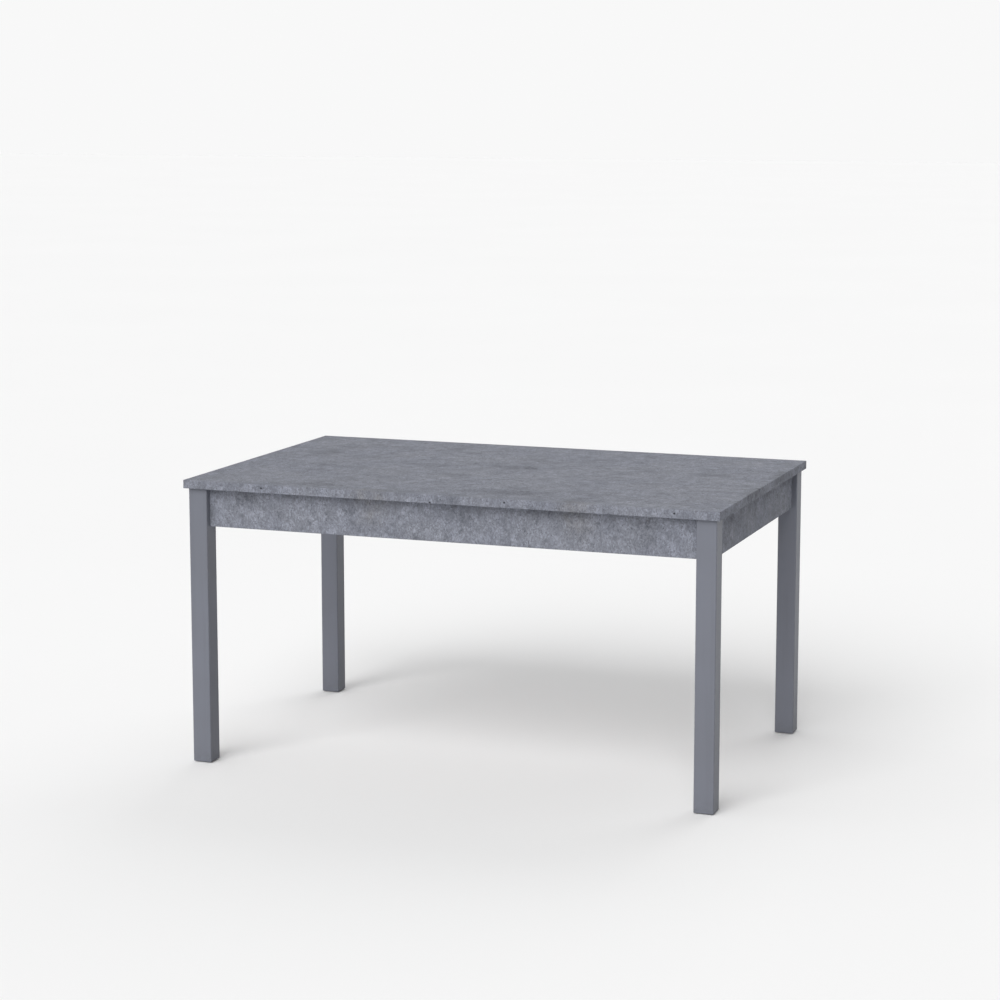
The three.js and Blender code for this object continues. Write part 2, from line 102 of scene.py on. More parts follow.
# ---------------------------------------------------------------------------------------------
# Shader nodes
# ---------------------------------------------------------------------------------------------


class Shader:
    """A new material whose nodes are added and linked in one call each."""

    def __init__(self, name):
        self.material = bpy.data.materials.new(name)
        self.material.use_nodes = True
        self.tree = self.material.node_tree
        self.tree.nodes.clear()
        self.place = self.tree.nodes.new("ShaderNodeTexCoord").outputs["Object"]

    def add(self, kind, inputs, **settings):
        """A node with its settings, its input values and its links."""
        node = self.tree.nodes.new(kind)
        for name, value in settings.items():
            setattr(node, name, value)
        for name, value in inputs.items():
            if isinstance(value, bpy.types.NodeSocket):
                self.tree.links.new(value, node.inputs[name])
            else:
                node.inputs[name].default_value = value
        return node

    def stretch(self, scale, offset=(0, 0, 0), place=None):
        """Coordinates, the object's own or given ones, scaled along each axis and shifted."""
        inputs = {"Vector": place or self.place, "Scale": scale, "Location": offset}
        return self.add("ShaderNodeMapping", inputs).outputs["Vector"]

    def stir(self, scale, reach):
        """The object's own coordinates, pushed about by noise so that patterns lose their order."""
        warp = self.add("ShaderNodeTexNoise", {"Vector": self.place, "Scale": scale, "Detail": 3.0})
        inputs = {0: warp.outputs["Color"], 1: (reach, reach, reach), 2: self.place}
        return self.add("ShaderNodeVectorMath", inputs, operation="MULTIPLY_ADD").outputs["Vector"]

    def noise(self, scale, detail=3.0, roughness=0.5, place=None, distortion=0.0):
        """Noise from 0 to 1. Scale is about the number of features in a metre."""
        inputs = {
            "Vector": place or self.place,
            "Scale": scale,
            "Detail": detail,
            "Roughness": roughness,
            "Distortion": distortion,
        }
        return self.add("ShaderNodeTexNoise", inputs).outputs["Fac"]

    def specks(self, scale, size, share, place=None):
        """Round dots scattered one to a cell, in only a share of the cells."""
        cells = self.add("ShaderNodeTexVoronoi", {"Vector": place or self.place, "Scale": scale})
        chance = self.add("ShaderNodeSeparateColor", {"Color": cells.outputs["Color"]}).outputs["Red"]
        dot = self.steps(cells.outputs["Distance"], size * 0.45, size, 1.0, 0.0)
        return self.math("MULTIPLY", dot, self.steps(chance, 1.0 - share, 1.02 - share))

    def lines(self, scale, width, place=None):
        """Thin wandering lines, where a noise crosses its middle value."""
        noise = self.noise(scale, 3.0, 0.6, place)
        distance = self.math("ABSOLUTE", self.math("SUBTRACT", noise, 0.5))
        return self.steps(distance, 0.0, width, 1.0, 0.0)

    def math(self, operation, *values):
        return self.add("ShaderNodeMath", dict(enumerate(values)), operation=operation).outputs[0]

    def steps(self, value, low, high, to_low=0.0, to_high=1.0):
        """The value's way from low to high as to_low to to_high, eased and held at both ends."""
        inputs = {
            "Value": value,
            "From Min": low,
            "From Max": high,
            "To Min": to_low,
            "To Max": to_high,
        }
        node = self.add("ShaderNodeMapRange", inputs, interpolation_type="SMOOTHSTEP")
        return node.outputs["Result"]

    def mix(self, share, first, second, blend="MIX"):
        """Two colours mixed."""
        inputs = {0: share, 6: first, 7: second}
        return self.add("ShaderNodeMix", inputs, data_type="RGBA", blend_type=blend).outputs[2]

    def spread(self, value):
        """One number as a grey colour."""
        return self.add("ShaderNodeCombineColor", {0: value, 1: value, 2: value}).outputs[0]

    def spot(self, centre, size, ragged=0.0):
        """An oval patch: 1 at its centre and 0 past its size, with a ragged rim."""
        scale = [1.0 / reach for reach in size]
        offset = [-place / reach for place, reach in zip(centre, size)]
        inputs = {0: self.stretch(scale, offset)}
        distance = self.add("ShaderNodeVectorMath", inputs, operation="LENGTH").outputs["Value"]
        if ragged:
            shake = self.math("SUBTRACT", self.noise(30.0, 6.0, 0.7), 0.5)
            distance = self.math("MULTIPLY_ADD", shake, ragged, distance)
        return self.steps(distance, 0.25, 1.0, 1.0, 0.0)

    def spots(self, patches, ragged=0.0):
        """The strongest of several patches at each point."""
        strongest = 0.0
        for centre, size in patches:
            strongest = self.math("MAXIMUM", strongest, self.spot(centre, size, ragged))
        return strongest

    def finish(self, colour, roughness, relief, height, **shader):
        """Links the Principled shader. Further values are set straight on its own sockets."""
        inputs = {"Base Color": colour, "Roughness": roughness}
        inputs.update({name.replace("_", " "): value for name, value in shader.items()})
        bump = self.add("ShaderNodeBump", {"Height": relief, "Strength": 1.0, "Distance": height})
        inputs["Normal"] = bump.outputs["Normal"]
        principled = self.add("ShaderNodeBsdfPrincipled", inputs)
        self.add("ShaderNodeOutputMaterial", {"Surface": principled.outputs["BSDF"]})
        return self.material


def grey(level, blue=0.0):
    """A neutral linear colour, with a little more blue where asked."""
    return (level, level * (1.0 + blue * 0.22), level * (1.0 + blue), 1.0)


# ---------------------------------------------------------------------------------------------
# Materials
# ---------------------------------------------------------------------------------------------

# Marks in the printed concrete, and patches of painted shade: each is a centre and a size, in metres
# in the table's frame.
SMUDGES_AND_SHADE = [
    ((-0.57, 0.15, 0.76), (0.045, 0.09, 0.05)),
    ((0.56, 0.11, 0.76), (0.075, 0.04, 0.05)),
    ((0.03, 0.06, 0.76), (0.12, 0.045, 0.05)),
    ((0.15, -0.35, 0.76), (0.15, 0.06, 0.05)),
    ((-0.37, -0.40, 0.76), (0.11, 0.04, 0.05)),
    ((0.05, -0.42, 0.70), (0.055, 0.05, 0.04)),
    ((-0.56, -0.42, 0.715), (0.05, 0.05, 0.03)),
    ((0.26, -0.42, 0.725), (0.08, 0.05, 0.035)),
    ((0.53, -0.42, 0.705), (0.045, 0.05, 0.035)),
    # The patches on the right end apron and the slab's end edge are partly print smudges and partly
    # painted shade. They darken the apron's upper part under the slab's overhang.
    ((0.70, -0.26, 0.71), (0.05, 0.06, 0.035)),
    ((0.70, -0.06, 0.725), (0.05, 0.11, 0.035)),
    ((0.70, 0.12, 0.725), (0.05, 0.11, 0.035)),
    ((0.70, 0.30, 0.725), (0.05, 0.10, 0.03)),
    ((0.72, -0.12, 0.75), (0.03, 0.13, 0.03)),
    ((0.72, 0.17, 0.75), (0.03, 0.12, 0.03)),
    ((-0.70, 0.05, 0.70), (0.04, 0.16, 0.05)),
]
STAINS = [
    ((-0.20, -0.44, 0.73), (0.08, 0.05, 0.12)),
    ((0.35, -0.44, 0.73), (0.07, 0.05, 0.12)),
]
PIT = (0.0042, 0.008, 0.0036)
PITS = [
    ((-0.50, -0.45, 0.7505), PIT),
    ((-0.03, -0.45, 0.7405), PIT),
    ((0.17, -0.45, 0.7515), PIT),
    ((0.61, -0.45, 0.7505), PIT),
]
CRACK = (0.0016, 0.02, 0.018)
CRACKS = [
    ((-0.22, -0.42, 0.712), CRACK),
    ((0.225, -0.42, 0.645), CRACK),
]

# Paint on the legs: how far from an arris it can be rubbed, and how high the painted shade near the
# floor reaches.
RUBBED_WIDTH = 3.0 * MM
RUBBED_WHOLLY = 0.8 * MM
FLOOR_SHADE_HEIGHT = 60.0 * MM

# Layers of cloud and grain in the print: features in a metre, darkest and lightest tone, how soft
# their rims are, and how far they are stretched upright on the aprons and edges.
CONCRETE_LAYERS = [
    (7.0, 0.93, 1.06, 0.22, 1.0),
    (30.0, 0.84, 1.09, 0.12, 1.0),
    (95.0, 0.83, 1.12, 0.15, 1.4),
    (250.0, 0.80, 1.12, 0.14, 1.6),
    (900.0, 0.90, 1.09, 0.22, 1.0),
]


def concrete():
    """A melamine face printed like cast concrete: clouds, grain, smudges, stains, scratches, hairline
    cracks, pores and pits, with painted shade high on the right end apron."""
    s = Shader("printed_concrete")
    stirred = s.stir(9.0, 0.03)
    layers = []
    tone = 1.0
    for scale, dark, light, soft, tall in CONCRETE_LAYERS:
        noise = s.noise(scale, 5.0, 0.68, s.stretch((1.0, 1.0, 1.0 / tall), place=stirred))
        tone = s.math("MULTIPLY", tone, s.steps(noise, 0.5 - soft, 0.5 + soft, dark, light))
        layers.append(noise)
    clouds, blotches, mottle, grain, dust = layers

    # Trowelled smudges are darker, and their rims break up with the mottle. The listed patches high
    # on the right end apron add painted shade under the slab's overhang.
    drifts = s.steps(s.noise(12.0, 6.0, 0.70, stirred), 0.50, 0.68, 0.0, 0.85)
    smudge_and_shade = s.math("MAXIMUM", drifts, s.spots(SMUDGES_AND_SHADE, 3.0))
    smudge_and_shade = s.math("MULTIPLY", smudge_and_shade, s.steps(blotches, 0.38, 0.58, 0.15, 1.0))
    smudge_and_shade = s.math("MULTIPLY", smudge_and_shade, s.steps(mottle, 0.34, 0.60, 0.3, 1.0))
    stain = s.math("MULTIPLY", s.spots(STAINS, 1.0), s.steps(blotches, 0.35, 0.65, 0.2, 1.0))

    pores = s.specks(110.0, 0.22, 0.35, stirred)
    pits = s.math("MAXIMUM", s.specks(17.0, 0.036, 0.25, stirred), s.spots(PITS))
    long_marks = s.math("MULTIPLY", s.lines(38.0, 0.032, stirred), s.steps(blotches, 0.45, 0.55))
    upright = s.stretch((1.0, 1.0, 0.6), place=stirred)
    short_marks = s.math("MULTIPLY", s.lines(90.0, 0.045, upright), s.steps(mottle, 0.49, 0.59))
    scratches = s.math("MAXIMUM", s.math("MULTIPLY", long_marks, 0.7), short_marks)
    flecks = s.specks(36.0, 0.30, 0.75, s.stir(140.0, 0.02))
    flecks = s.math("MULTIPLY", flecks, s.steps(grain, 0.40, 0.58, 0.2, 1.0))
    veins = s.math("MULTIPLY", s.lines(11.0, 0.005, stirred), s.steps(clouds, 0.50, 0.62))
    cracks = s.spots(CRACKS)

    colour = s.mix(s.steps(clouds, 0.4, 0.6), grey(0.232, 0.24), grey(0.228, 0.21))
    # Darker grey where the smudge mask is. On the right end apron this is painted shade under the
    # slab.
    colour = s.mix(s.math("MULTIPLY", smudge_and_shade, 0.84), colour, grey(0.092, 0.24))
    colour = s.mix(s.math("MULTIPLY", stain, 0.35), colour, (0.170, 0.156, 0.134, 1.0))
    colour = s.mix(1.0, colour, s.spread(tone), "MULTIPLY")
    colour = s.mix(s.math("MULTIPLY", veins, 0.25), colour, grey(0.28, 0.15))
    colour = s.mix(s.math("MULTIPLY", flecks, 0.46), colour, grey(0.07, 0.2))
    colour = s.mix(s.math("MULTIPLY", scratches, 0.60), colour, grey(0.06, 0.2))
    colour = s.mix(s.math("MULTIPLY", pores, 0.60), colour, grey(0.05, 0.15))
    colour = s.mix(s.math("MULTIPLY", cracks, 0.55), colour, grey(0.04, 0.1))
    colour = s.mix(s.math("MULTIPLY", pits, 0.92), colour, grey(0.012, 0.1))

    holes = s.math("MAXIMUM", pores, pits)
    roughness = s.math("MULTIPLY_ADD", holes, 0.12, s.steps(mottle, 0.25, 0.75, 0.58, 0.70))
    relief = s.math("MULTIPLY_ADD", mottle, 0.6, s.math("MULTIPLY", grain, 0.5))
    relief = s.math("ADD", relief, s.math("MULTIPLY", dust, 0.15))
    relief = s.math("SUBTRACT", relief, s.math("MULTIPLY", holes, 0.8))
    return s.finish(colour, roughness, relief, 0.12 * MM, Specular_IOR_Level=0.06)


def painted_wood():
    """Satin paint: an orange-peel skin over faint grain, rubbed at the arrises and darkened low down
    with painted shade near the floor.
    """
    s = Shader("satin_leg_paint")
    low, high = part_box("leg_back_right")
    middle = (low + high) / 2
    axes = s.add("ShaderNodeSeparateXYZ", {"Vector": s.place}).outputs
    off_x = s.math("ABSOLUTE", s.math("SUBTRACT", s.math("ABSOLUTE", axes["X"]), middle.x))
    off_y = s.math("ABSOLUTE", s.math("SUBTRACT", s.math("ABSOLUTE", axes["Y"]), middle.y))
    half = (high.x - low.x) / 2
    arris = s.steps(s.math("MINIMUM", off_x, off_y), half - RUBBED_WIDTH, half - RUBBED_WHOLLY)

    grain = s.noise(1.0, 4.0, 0.6, s.stretch((60.0, 60.0, 2.2)))
    peel = s.noise(420.0, 2.0, 0.5)
    drift = s.noise(5.0, 2.0, 0.5)
    wear = s.noise(45.0, 5.0, 0.7)

    rubbed = s.math("MULTIPLY", arris, s.steps(wear, 0.50, 0.66))
    scuffs = s.math("MULTIPLY", s.steps(wear, 0.64, 0.76), s.steps(s.noise(300.0, 2.0), 0.48, 0.60))
    # Painted shade near the floor: the bottom of each leg is darkened in patches.
    low_down = s.steps(axes["Z"], 0.0, FLOOR_SHADE_HEIGHT, 1.0, 0.0)
    dust = s.math("MULTIPLY", low_down, s.steps(wear, 0.35, 0.65))

    colour = s.mix(s.steps(drift, 0.3, 0.7), grey(0.160, 0.22), grey(0.168, 0.24))
    colour = s.mix(s.steps(grain, 0.45, 0.75, 0.0, 0.35), colour, grey(0.142, 0.22))
    colour = s.mix(s.math("MULTIPLY", scuffs, 0.22), colour, grey(0.23, 0.15))
    colour = s.mix(s.math("MULTIPLY", rubbed, 0.30), colour, grey(0.25, 0.12))
    # The legs' bottoms turn a darker grey here, as painted shade near the floor.
    colour = s.mix(s.math("MULTIPLY", dust, 0.22), colour, grey(0.09, 0.05))
    roughness = s.math("MULTIPLY_ADD", scuffs, 0.15, s.steps(peel, 0.3, 0.7, 0.34, 0.41))
    relief = s.math("MULTIPLY_ADD", grain, 0.8, s.math("MULTIPLY", peel, 0.5))
    return s.finish(colour, roughness, relief, 0.06 * MM, Specular_IOR_Level=0.12)


def beech(along):
    """Steamed beech with its grain along one axis: soft rings, fine fibres and short dark flecks."""
    s = Shader("beech_along_" + "xyz"[along])
    flow = s.stretch([0.045 if axis == along else 1.0 for axis in range(3)])
    wander = s.noise(9.0, 3.0, 0.5, flow)
    rings = s.noise(60.0, 4.0, 0.6, flow, 0.6)
    fibres = s.noise(620.0, 3.0, 0.6, flow)
    short = s.stretch([110.0 if axis == along else 520.0 for axis in range(3)])
    flecks = s.specks(1.0, 0.30, 0.8, short)

    colour = s.mix(s.steps(wander, 0.3, 0.7), (0.56, 0.345, 0.185, 1.0), (0.64, 0.42, 0.245, 1.0))
    colour = s.mix(s.steps(rings, 0.42, 0.66, 0.0, 0.5), colour, (0.44, 0.245, 0.12, 1.0))
    colour = s.mix(s.steps(fibres, 0.45, 0.75, 0.0, 0.35), colour, (0.40, 0.225, 0.11, 1.0))
    colour = s.mix(s.math("MULTIPLY", flecks, 0.42), colour, (0.30, 0.15, 0.07, 1.0))
    relief = s.math("SUBTRACT", fibres, s.math("MULTIPLY", flecks, 0.5))
    roughness = s.steps(fibres, 0.3, 0.7, 0.46, 0.60)
    return s.finish(colour, roughness, relief, 0.1 * MM, Specular_IOR_Level=0.4)


def zinc():
    """Zinc-plated steel: cloudy pale blue passivation, yellow traces and rolling marks."""
    s = Shader("zinc_plate")
    cloud = s.noise(60.0, 5.0, 0.65)
    marks = s.noise(1.0, 3.0, 0.6, s.stretch((300.0, 300.0, 2600.0)))
    colour = s.mix(s.steps(cloud, 0.3, 0.7), (0.62, 0.64, 0.66, 1.0), (0.50, 0.53, 0.58, 1.0))
    yellow = s.steps(s.noise(16.0, 3.0), 0.62, 0.80, 0.0, 0.35)
    colour = s.mix(yellow, colour, (0.56, 0.53, 0.42, 1.0))
    roughness = s.math("MULTIPLY_ADD", marks, 0.10, s.steps(cloud, 0.3, 0.7, 0.26, 0.42))
    return s.finish(colour, roughness, marks, 0.02 * MM, Metallic=1.0)


def glide_plastic():
    """Moulded nylon, finely grained and scratched by the floor."""
    s = Shader("glide_nylon")
    grain = s.noise(1400.0, 3.0, 0.6)
    scratches = s.steps(s.noise(1.0, 3.0, 0.7, s.stretch((90.0, 1500.0, 90.0))), 0.60, 0.70)
    colour = s.mix(s.steps(grain, 0.3, 0.7), grey(0.028), grey(0.040))
    colour = s.mix(s.math("MULTIPLY", scratches, 0.5), colour, grey(0.12))
    relief = s.math("SUBTRACT", grain, scratches)
    return s.finish(colour, s.steps(grain, 0.3, 0.7, 0.48, 0.64), relief, 0.05 * MM)


def felt():
    """Pressed wool felt: matted fibres lying both ways, with stray pale hairs."""
    s = Shader("pressed_felt")
    mat = s.noise(900.0, 5.0, 0.75)
    one_way = s.noise(1.0, 3.0, 0.7, s.stretch((2200.0, 180.0, 900.0)))
    other_way = s.noise(1.0, 3.0, 0.7, s.stretch((180.0, 2200.0, 900.0)))
    fibres = s.math("MAXIMUM", one_way, other_way)
    colour = s.mix(s.steps(mat, 0.3, 0.7), grey(0.045, 0.1), grey(0.085, 0.1))
    colour = s.mix(s.steps(fibres, 0.62, 0.75, 0.0, 0.5), colour, grey(0.20, 0.05))
    relief = s.math("ADD", mat, fibres)
    return s.finish(colour, s.steps(mat, 0.3, 0.7, 0.90, 1.0), relief, 0.4 * MM, Sheen_Weight=0.3)


MATERIALS = {
    "concrete": concrete(),
    "leg": painted_wood(),
    "beech_x": beech(0),
    "beech_y": beech(1),
    "zinc": zinc(),
    "glide": glide_plastic(),
    "felt": felt(),
}


# ---------------------------------------------------------------------------------------------
# Mesh building
# ---------------------------------------------------------------------------------------------


def mesh_of(name, bm):
    """Turns a bmesh into a mesh that is smooth up to its sharp edges."""
    mesh = bpy.data.meshes.new(name)
    bmesh.ops.recalc_face_normals(bm, faces=bm.faces)
    bm.to_mesh(mesh)
    bm.free()
    mesh.shade_smooth()
    mesh.set_sharp_from_angle(angle=SMOOTH_ANGLE)
    return mesh


def add_piece(name, mesh, material, body, node=None):
    """Makes an object with a finish that rides on its body, and may stand for a CAD node."""
    mesh.materials.clear()
    mesh.materials.append(MATERIALS[material])
    piece = bpy.data.objects.new(name, mesh)
    bpy.context.scene.collection.objects.link(piece)
    even_normals(piece)
    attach(piece, body)
    if node:
        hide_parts(node)


def even_normals(thing):
    """Keeps large flat faces evenly shaded beside rounded edges."""
    weigh = thing.modifiers.new("even_normals", "WEIGHTED_NORMAL")
    weigh.keep_sharp = True


def block(bm, low, high):
    """Adds a box between two corners."""
    size = [far - near for near, far in zip(low, high)]
    middle = [(near + far) / 2 for near, far in zip(low, high)]
    place = Matrix.Translation(middle) @ Matrix.Diagonal((*size, 1.0))
    bmesh.ops.create_cube(bm, size=1.0, matrix=place)


def ease(bm, radius, segments=2, rule=None):
    """Rounds the sharp edges that a rule picks, or all of them."""
    sharp = []
    for edge in bm.edges:
        if edge.is_manifold and edge.calc_face_angle() > SHARP_ANGLE and (rule is None or rule(edge)):
            sharp.append(edge)
    bmesh.ops.bevel(bm, geom=sharp, offset=radius, segments=segments, profile=0.5, affect="EDGES")


def cad_copy(node):
    """A bmesh of a CAD node, with its triangles joined into flat faces."""
    bm = bmesh.new()
    bm.from_mesh(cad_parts[node].data)
    bmesh.ops.remove_doubles(bm, verts=bm.verts, dist=TOUCH)
    bmesh.ops.dissolve_limit(bm, angle_limit=FLAT_ANGLE, verts=bm.verts, edges=bm.edges)
    return bm


def turned(profile, facets, ripple=None):
    """A body of revolution along +Z through (radius, height) points. ripple(height, angle) is added
    to the radius."""
    bm = bmesh.new()
    rings = []
    for radius, height in profile:
        ring = []
        for index in range(facets):
            angle = 2 * math.pi * index / facets
            reach = radius + (ripple(height, angle) if ripple else 0.0)
            ring.append(bm.verts.new((reach * math.cos(angle), reach * math.sin(angle), height)))
        rings.append(ring)
    for lower, upper in zip(rings, rings[1:]):
        for index in range(facets):
            following = (index + 1) % facets
            bm.faces.new((lower[index], lower[following], upper[following], upper[index]))
    bm.faces.new(reversed(rings[0]))
    bm.faces.new(rings[-1])
    return bm


def pointing(origin, direction):
    """The move that takes +Z at the origin to a direction at a point."""
    turn = Vector((0, 0, 1)).rotation_difference(Vector(direction)).to_matrix().to_4x4()
    return Matrix.Translation(origin) @ turn


def difference(mesh, cutter):
    """A mesh with another cut out of it."""
    thing = bpy.data.objects.new("cut_thing", mesh)
    tool = bpy.data.objects.new("cut_tool", cutter)
    for item in (thing, tool):
        bpy.context.scene.collection.objects.link(item)
    cut = thing.modifiers.new("cut", "BOOLEAN")
    cut.operation = "DIFFERENCE"
    cut.solver = "EXACT"
    cut.use_self = True
    cut.object = tool
    depsgraph = bpy.context.evaluated_depsgraph_get()
    result = bpy.data.meshes.new_from_object(thing.evaluated_get(depsgraph))
    for item in (thing, tool):
        bpy.data.objects.remove(item)
    return result


# ---------------------------------------------------------------------------------------------
# CAD nodes that keep their own mesh
# ---------------------------------------------------------------------------------------------


def smoothing_group():
    """Geometry nodes that join loose triangles and shade them smooth up to the sharp edges."""
    group = bpy.data.node_groups.new("joined_and_smooth", "GeometryNodeTree")
    group.interface.new_socket("Geometry", in_out="INPUT", socket_type="NodeSocketGeometry")
    group.interface.new_socket("Geometry", in_out="OUTPUT", socket_type="NodeSocketGeometry")
    start = group.nodes.new("NodeGroupInput")
    merge = group.nodes.new("GeometryNodeMergeByDistance")
    merge.inputs["Distance"].default_value = TOUCH
    plain = group.nodes.new("GeometryNodeRemoveAttribute")
    plain.inputs["Name"].default_value = "custom_normal"
    faces = group.nodes.new("GeometryNodeSetShadeSmooth")
    faces.domain = "FACE"
    angle = group.nodes.new("GeometryNodeInputMeshEdgeAngle")
    sharp = group.nodes.new("FunctionNodeCompare")
    sharp.data_type = "FLOAT"
    sharp.operation = "GREATER_THAN"
    sharp.inputs["B"].default_value = SMOOTH_ANGLE
    edges = group.nodes.new("GeometryNodeSetShadeSmooth")
    edges.domain = "EDGE"
    edges.inputs["Shade Smooth"].default_value = False
    end = group.nodes.new("NodeGroupOutput")
    chain = [start, merge, plain, faces, edges, end]
    for before, after in zip(chain, chain[1:]):
        group.links.new(before.outputs[0], after.inputs[0])
    group.links.new(angle.outputs["Unsigned Angle"], sharp.inputs["A"])
    group.links.new(sharp.outputs["Result"], edges.inputs["Selection"])
    return group


SMOOTHING = smoothing_group()


def dress(node, material, radius=0.0):
    """Gives a CAD node its finish and eases its edges with modifiers."""
    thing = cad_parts[node]
    for slot in thing.material_slots:
        slot.material = MATERIALS[material]
    thing.modifiers.new("joined", "NODES").node_group = SMOOTHING
    if radius:
        flat = thing.modifiers.new("flat_faces", "DECIMATE")
        flat.decimate_type = "DISSOLVE"
        flat.angle_limit = FLAT_ANGLE
        eased = thing.modifiers.new("eased", "BEVEL")
        eased.width = radius
        eased.segments = 2
        eased.limit_method = "ANGLE"
        eased.angle_limit = SHARP_ANGLE
        welded = thing.modifiers.new("welded", "WELD")
        welded.merge_threshold = TOUCH
    even_normals(thing)


def dress_frame():
    for side, end in CORNERS:
        dress(f"leg_{side}_{end}", "leg")
        dress(f"glide_{side}_{end}", "glide")
        for hardware in ("corner_bracket", "wing_nut", "rail_bracket"):
            dress(f"{hardware}_{side}_{end}", "zinc", STEEL_ARRIS)
        dress(f"runner_{end}_{side}", "beech_x", WOOD_ARRIS)
        for number in (1, 2, 3):
            dress(f"runner_screw_{end}_{side}_{number}", "zinc")
    for side in SIDES:
        dress(f"guide_rail_{side}", "beech_x", WOOD_ARRIS)
    for end in ENDS:
        dress(f"cross_bearer_{end}", "beech_y", WOOD_ARRIS)
        dress(f"slide_strip_{end}", "felt")


# ---------------------------------------------------------------------------------------------
# Boards
# ---------------------------------------------------------------------------------------------


def add_board(node, body, banded):
    """A laminated board in place of a CAD node, with thin bands glued to some of its sides.

    `banded` lists those sides as (axis, sign). A band covers the ends of the ones before it."""
    low, high = [list(corner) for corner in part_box(node)]
    bm = cad_copy(node)
    bands = []
    for axis, sign in reversed(banded):
        outer = high[axis] if sign > 0 else low[axis]
        inner = outer - sign * BAND
        for vertex in bm.verts:
            if abs(vertex.co[axis] - outer) < TOUCH:
                vertex.co[axis] = inner
        near, far = list(low), list(high)
        near[axis], far[axis] = min(outer, inner), max(outer, inner)
        bands.append((axis, sign, outer, near, far))
        (high if sign > 0 else low)[axis] = inner
    ease(bm, BOARD_ARRIS, 1)
    add_piece(f"{node}_board", mesh_of(f"{node}_board", bm), "concrete", body, node)
    for axis, sign, outer, near, far in bands:
        bm = bmesh.new()
        block(bm, near, far)
        ease(bm, BAND_ARRIS, 3, lambda edge: all(abs(v.co[axis] - outer) < TOUCH for v in edge.verts))
        name = f"{node}_band_{'xyz'[axis]}_{'far' if sign > 0 else 'near'}"
        add_piece(name, mesh_of(name, bm), "concrete", body)


def add_boards():
    for end, sign in ENDS.items():
        add_board(f"top_{end}", f"{end}_half", [(1, -1), (1, 1), (0, sign)])
        add_board(f"apron_{end}", "frame", [(2, -1)])
    for side in SIDES:
        add_board(f"apron_{side}", "frame", [(2, -1)])
    add_board("extension_leaf", "leaf", [(0, -1), (0, 1)])


# ---------------------------------------------------------------------------------------------
# Bolts and dowels
# ---------------------------------------------------------------------------------------------


def add_bolt(side, end):
    """A hanger bolt with a rolled thread, level and at 45 degrees through the corner."""
    node = f"hanger_bolt_{side}_{end}"
    low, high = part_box(node)
    middle = (low + high) / 2
    outward = Vector((ENDS[end], SIDES[side], 0)).normalized()
    radius = (high.z - low.z) / 2
    # The box of a round rod at 45 degrees spans its length and one diameter, less the end chamfers.
    length = (high.x - low.x) * math.sqrt(2) - 2 * (radius - CHAMFER)
    rings = round(length / THREAD_PITCH * THREAD_RINGS)
    profile = []
    for index in range(rings + 1):
        height = length * index / rings
        end_gap = min(height, length - height)
        narrowing = CHAMFER * max(0.0, 1.0 - end_gap / CHAMFER)
        profile.append((radius - THREAD_DEPTH / 2 - narrowing, height))

    def thread(height, angle):
        return THREAD_DEPTH / 2 * math.sin(2 * math.pi * height / THREAD_PITCH + angle)

    bm = turned(profile, BOLT_FACETS, thread)
    bm.transform(pointing(middle - outward * length / 2, outward))
    add_piece(f"threaded_bolt_{side}_{end}", mesh_of(node, bm), "zinc", "frame", node)


def add_dowel(node, axis, body):
    """A fluted dowel lying along X or Y."""
    low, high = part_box(node)
    radius = (high.z - low.z) / 2
    length = high[axis] - low[axis]
    direction = Vector([1.0 if index == axis else 0.0 for index in range(3)])
    profile = [
        (radius - CHAMFER, 0),
        (radius, CHAMFER),
        (radius, length - CHAMFER),
        (radius - CHAMFER, length),
    ]

    def flutes(height, angle):
        return -FLUTE_DEPTH * max(0.0, math.cos(DOWEL_FLUTES * angle))

    bm = turned(profile, DOWEL_FLUTES * FLUTE_FACETS, flutes)
    bm.transform(pointing((low + high) / 2 - direction * length / 2, direction))
    add_piece(f"fluted_{node}", mesh_of(node, bm), "beech_" + "xyz"[axis], body, node)


def add_bolts_and_dowels():
    for side, end in CORNERS:
        add_bolt(side, end)
    for place in DOWEL_PLACES:
        add_dowel(f"seam_dowel_{place}", 0, "left_half")
        add_dowel(f"leaf_dowel_{place}", 1, "leaf")


# ---------------------------------------------------------------------------------------------
# Screws, and the angles under the cross bearers
# ---------------------------------------------------------------------------------------------


def screw_mesh():
    """A pan-head screw along +Z with its seat at the origin and a cross recess in its head."""
    profile = [
        (SCREW_RADIUS, -SCREW_LENGTH),
        (SCREW_RADIUS, 0),
        (SCREW_HEAD_RADIUS, 0),
        (SCREW_HEAD_RADIUS, SCREW_HEAD_HEIGHT * 0.40),
        (SCREW_HEAD_RADIUS * 0.93, SCREW_HEAD_HEIGHT * 0.70),
        (SCREW_HEAD_RADIUS * 0.75, SCREW_HEAD_HEIGHT * 0.93),
        (SCREW_HEAD_RADIUS * 0.50, SCREW_HEAD_HEIGHT),
    ]
    head = mesh_of("screw", turned(profile, SCREW_FACETS))
    bm = bmesh.new()
    for wide, deep in ((RECESS_REACH, RECESS_HALF), (RECESS_HALF, RECESS_REACH)):
        floor = SCREW_HEAD_HEIGHT - RECESS_DEPTH
        block(bm, (-wide, -deep, floor), (wide, deep, 2 * SCREW_HEAD_HEIGHT))
    return difference(head, mesh_of("recess", bm))


SCREW = screw_mesh()


def add_screw(name, seat, direction, turn):
    """A screw with its head pointing along a direction. It is turned about its own axis by some
    radians, which only keep the recesses from lining up."""
    mesh = SCREW.copy()
    mesh.transform(pointing(seat, direction) @ Matrix.Rotation(turn, 4, "Z"))
    add_piece(name, mesh, "zinc", "frame")


